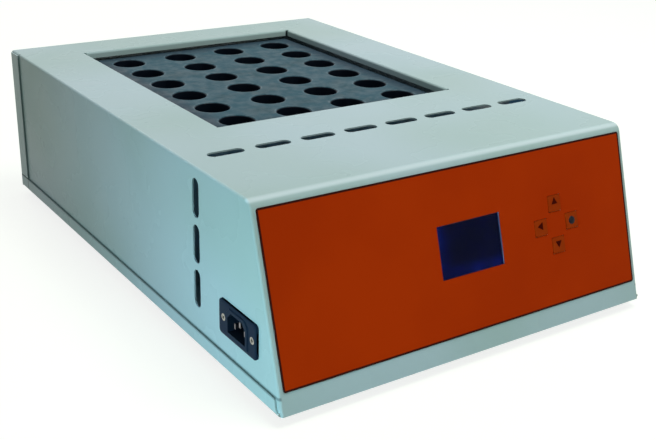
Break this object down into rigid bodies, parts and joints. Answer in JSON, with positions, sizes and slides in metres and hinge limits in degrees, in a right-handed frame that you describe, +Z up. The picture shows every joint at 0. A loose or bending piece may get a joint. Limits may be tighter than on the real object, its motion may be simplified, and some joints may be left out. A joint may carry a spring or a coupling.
{
  "type": "block digester",
  "caption": "Bench-top block digester: heated graphite block with a grid of tube wells, open above, in a vented steel case with a leaning control panel.",
  "frame": {"origin": "on the bench, under the middle of the case", "axes": "+X to the right seen from the front, +Y to the back (the control panel faces -Y), +Z up"},
  "size_m": [0.3516, 0.5122, 0.148],
  "materials": {
    "case_paint": "fine textured powder coat, semi-matt",
    "plated_steel": "zinc plated",
    "screw_steel": "plated, turned",
    "stainless": "brushed stainless sheet",
    "graphite": "machined graphite, dull with a soft sheen",
    "cast_plate": "cast, matt",
    "element_sheath": "oxidised steel sheath",
    "ceramic": "unglazed ceramic",
    "fibre_board": "rigid mineral fibre board",
    "panel_print": "printed polyester sheet, satin",
    "key_cap": "moulded, satin",
    "clear_window": "tinted clear acrylic",
    "display_can": "black enamelled steel",
    "display_glass": "dark blue liquid crystal glass",
    "light_guide": "white moulded plastic",
    "black_plastic": "moulded, fine matt",
    "inlet_plastic": "moulded, semi-gloss",
    "contact_metal": "nickel plated brass",
    "brass": "bare brass",
    "circuit_board": "solder resist over glass fibre",
    "core_steel": "laminated and varnished",
    "winding_tape": "taped winding",
    "capacitor_sleeve": "shrunk sleeve",
    "white_plastic": "moulded nylon",
    "sink_metal": "extruded, anodised",
    "foot_rubber": "moulded rubber"
  },
  "bodies": {
    "case": {"base_screws": "screw_steel", "base_tray": "case_paint", "board_screws": "screw_steel", "bulkhead": "plated_steel", "bulkhead_screws": "screw_steel", "control_board": "circuit_board", "cover": "case_paint", "display_backlight": "light_guide", "display_frame": "display_can", "display_glass": "display_glass", "display_window": "clear_window", "earth_nut": "brass", "earth_stud": "brass", "element_bushes": "ceramic", "floor_insulation_board": "fibre_board", "foot_nuts": "plated_steel", "foot_screws": "screw_steel", "graphite_block": "graphite", "heat_sink": "sink_metal", "heater_bolts": "screw_steel", "heater_plate": "cast_plate", "heating_element": "element_sheath", "inlet_body": "inlet_plastic", "inlet_nuts": "plated_steel", "inlet_pins": "contact_metal", "inlet_screws": "screw_steel", "key_switches": "black_plastic", "liner": "stainless", "liner_pillars": "plated_steel", "liner_screws": "screw_steel", "panel_overlay": "panel_print", "panel_posts": "plated_steel", "pillar_screws": "screw_steel", "power_board": "circuit_board", "power_capacitors": "capacitor_sleeve", "power_connector": "white_plastic", "power_posts": "plated_steel", "power_screws": "screw_steel", "rear_panel": "case_paint", "rear_screws": "screw_steel", "relay": "black_plastic", "relay_screws": "screw_steel", "relay_terminals": "screw_steel", "rubber_feet": "foot_rubber", "safety_cutout": "black_plastic", "side_insulation": "fibre_board", "sink_screws": "screw_steel", "temperature_probe": "stainless", "terminal_block": "black_plastic", "terminal_screws": "screw_steel", "transformer_core": "core_steel", "transformer_winding": "winding_tape"},
    "up_button": {"key_up": "key_cap", "plunger_up": "light_guide"},
    "down_button": {"key_down": "key_cap", "plunger_down": "light_guide"},
    "left_button": {"key_left": "key_cap", "plunger_left": "light_guide"},
    "enter_button": {"key_enter": "key_cap", "plunger_enter": "light_guide"}
  },
  "joints": [
    {"name": "up_press", "type": "slide", "parent": "case", "child": "up_button", "axis": [0, 0.954, -0.2998], "range_m": [0, 0.0008], "stiffness_N_per_m": 2500},
    {"name": "down_press", "type": "slide", "parent": "case", "child": "down_button", "axis": [0, 0.954, -0.2998], "range_m": [0, 0.0008], "stiffness_N_per_m": 2500},
    {"name": "left_press", "type": "slide", "parent": "case", "child": "left_button", "axis": [0, 0.954, -0.2998], "range_m": [0, 0.0008], "stiffness_N_per_m": 2500},
    {"name": "enter_press", "type": "slide", "parent": "case", "child": "enter_button", "axis": [0, 0.954, -0.2998], "range_m": [0, 0.0008], "stiffness_N_per_m": 2500}
  ]
}
